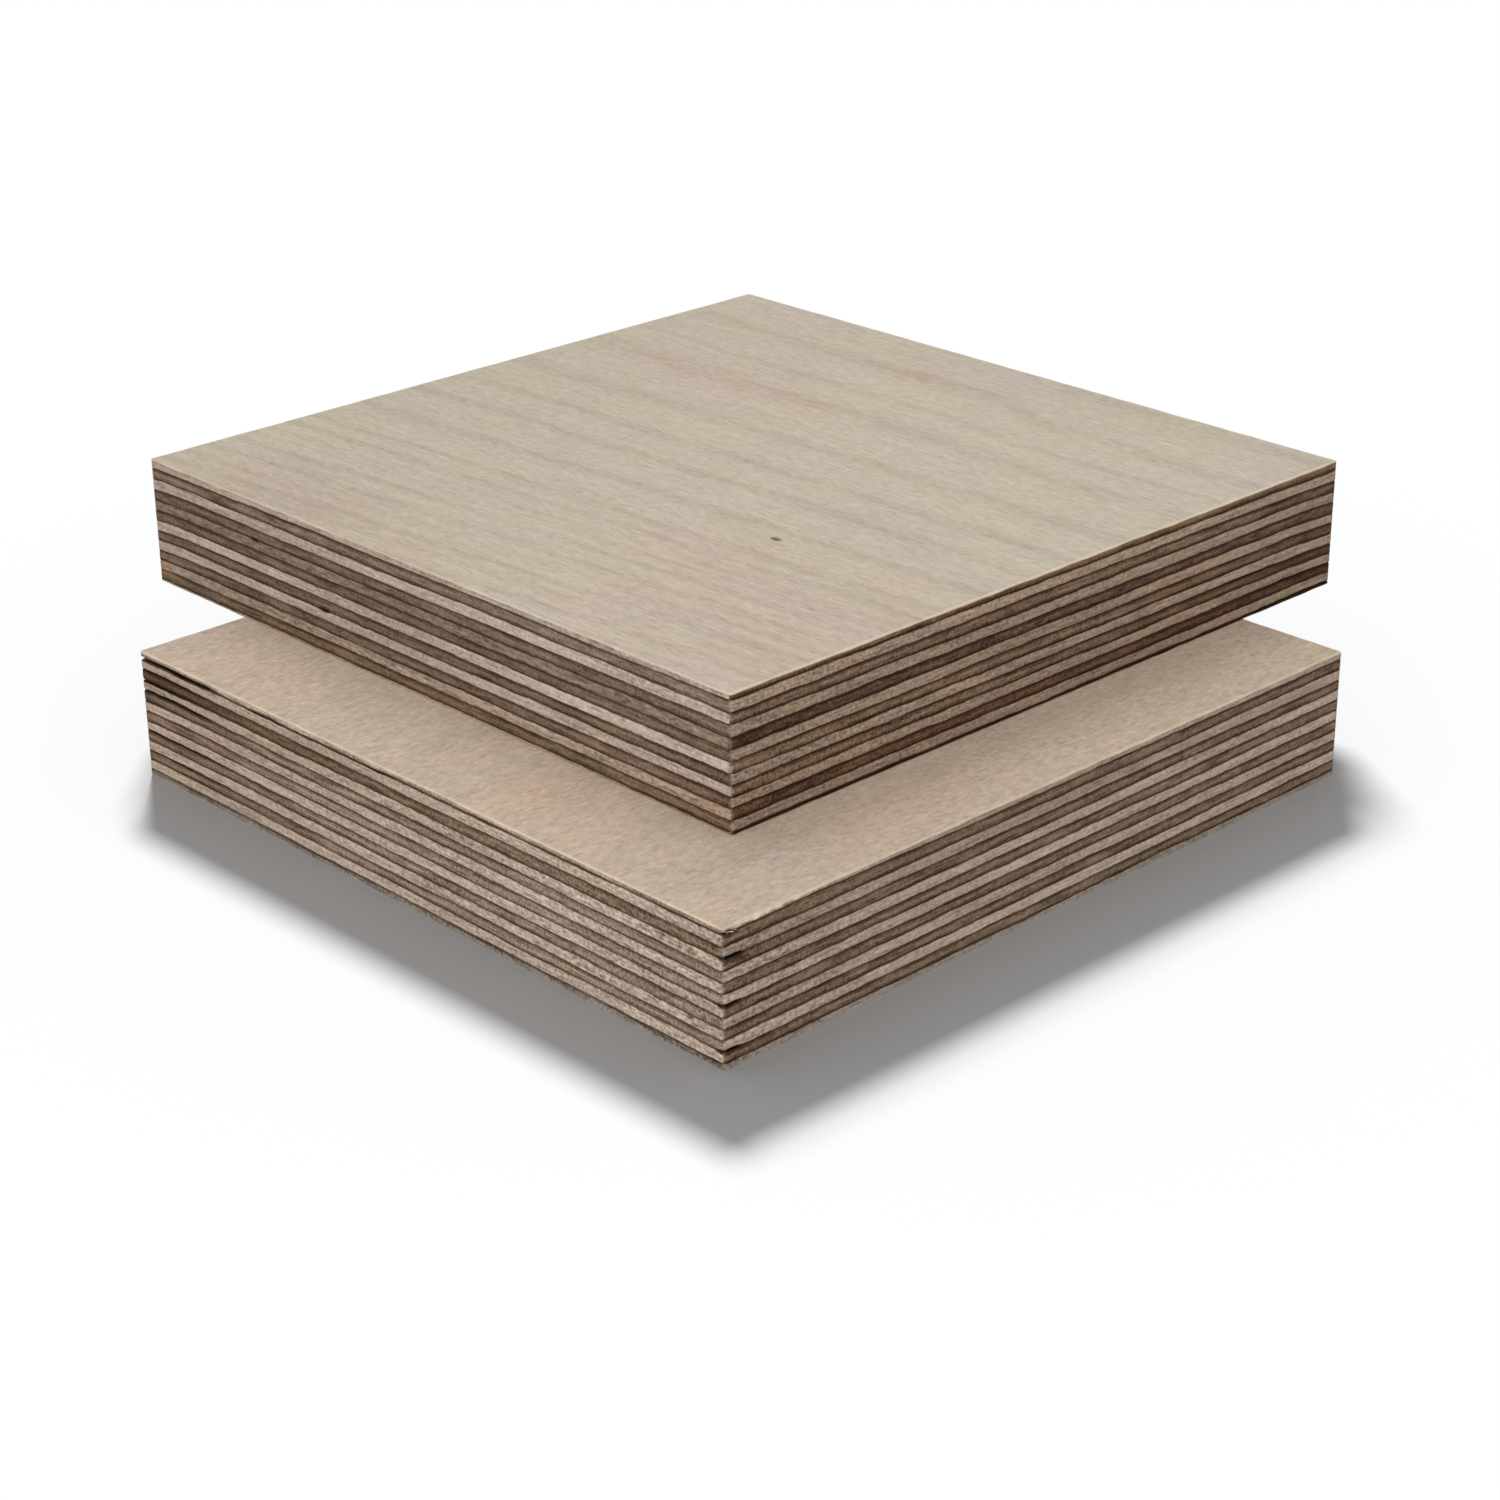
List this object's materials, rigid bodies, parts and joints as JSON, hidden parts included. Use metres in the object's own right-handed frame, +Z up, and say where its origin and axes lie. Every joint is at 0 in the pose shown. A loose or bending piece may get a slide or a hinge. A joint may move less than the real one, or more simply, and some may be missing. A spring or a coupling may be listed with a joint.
{
  "type": "stack of plywood panels",
  "caption": "Thick square plywood panels lying flat in a stack, the upper set back from the front corner, with the cross-laminated plies showing on every sawn edge.",
  "frame": {"origin": "middle of the lower panel's underside, on the floor", "axes": "+Z up through the plies; +X and -Y point at the two sawn sides that meet at the front corner, with the upper panel's face grain along X and the lower panel's along Y"},
  "size_m": [0.1328, 0.1319, 0.036],
  "materials": {
    "face_veneer": "rotary-cut veneer, sanded and unfinished",
    "crossband": "sawn edge, unfinished",
    "core": "sawn edge, unfinished"
  },
  "bodies": {
    "root": {"upper_face_veneer": "face_veneer", "upper_crossband_1": "crossband", "upper_crossband_2": "crossband", "upper_crossband_3": "crossband", "upper_crossband_4": "crossband", "upper_crossband_5": "crossband", "upper_crossband_6": "crossband", "upper_core_1": "core", "upper_core_2": "core", "upper_core_3": "core", "upper_core_4": "core", "upper_core_5": "core", "upper_back_veneer": "face_veneer", "lower_face_veneer": "face_veneer", "lower_crossband_1": "crossband", "lower_crossband_2": "crossband", "lower_crossband_3": "crossband", "lower_crossband_4": "crossband", "lower_crossband_5": "crossband", "lower_crossband_6": "crossband", "lower_core_1": "core", "lower_core_2": "core", "lower_core_3": "core", "lower_core_4": "core", "lower_core_5": "core", "lower_back_veneer": "face_veneer"}
  },
  "joints": []
}
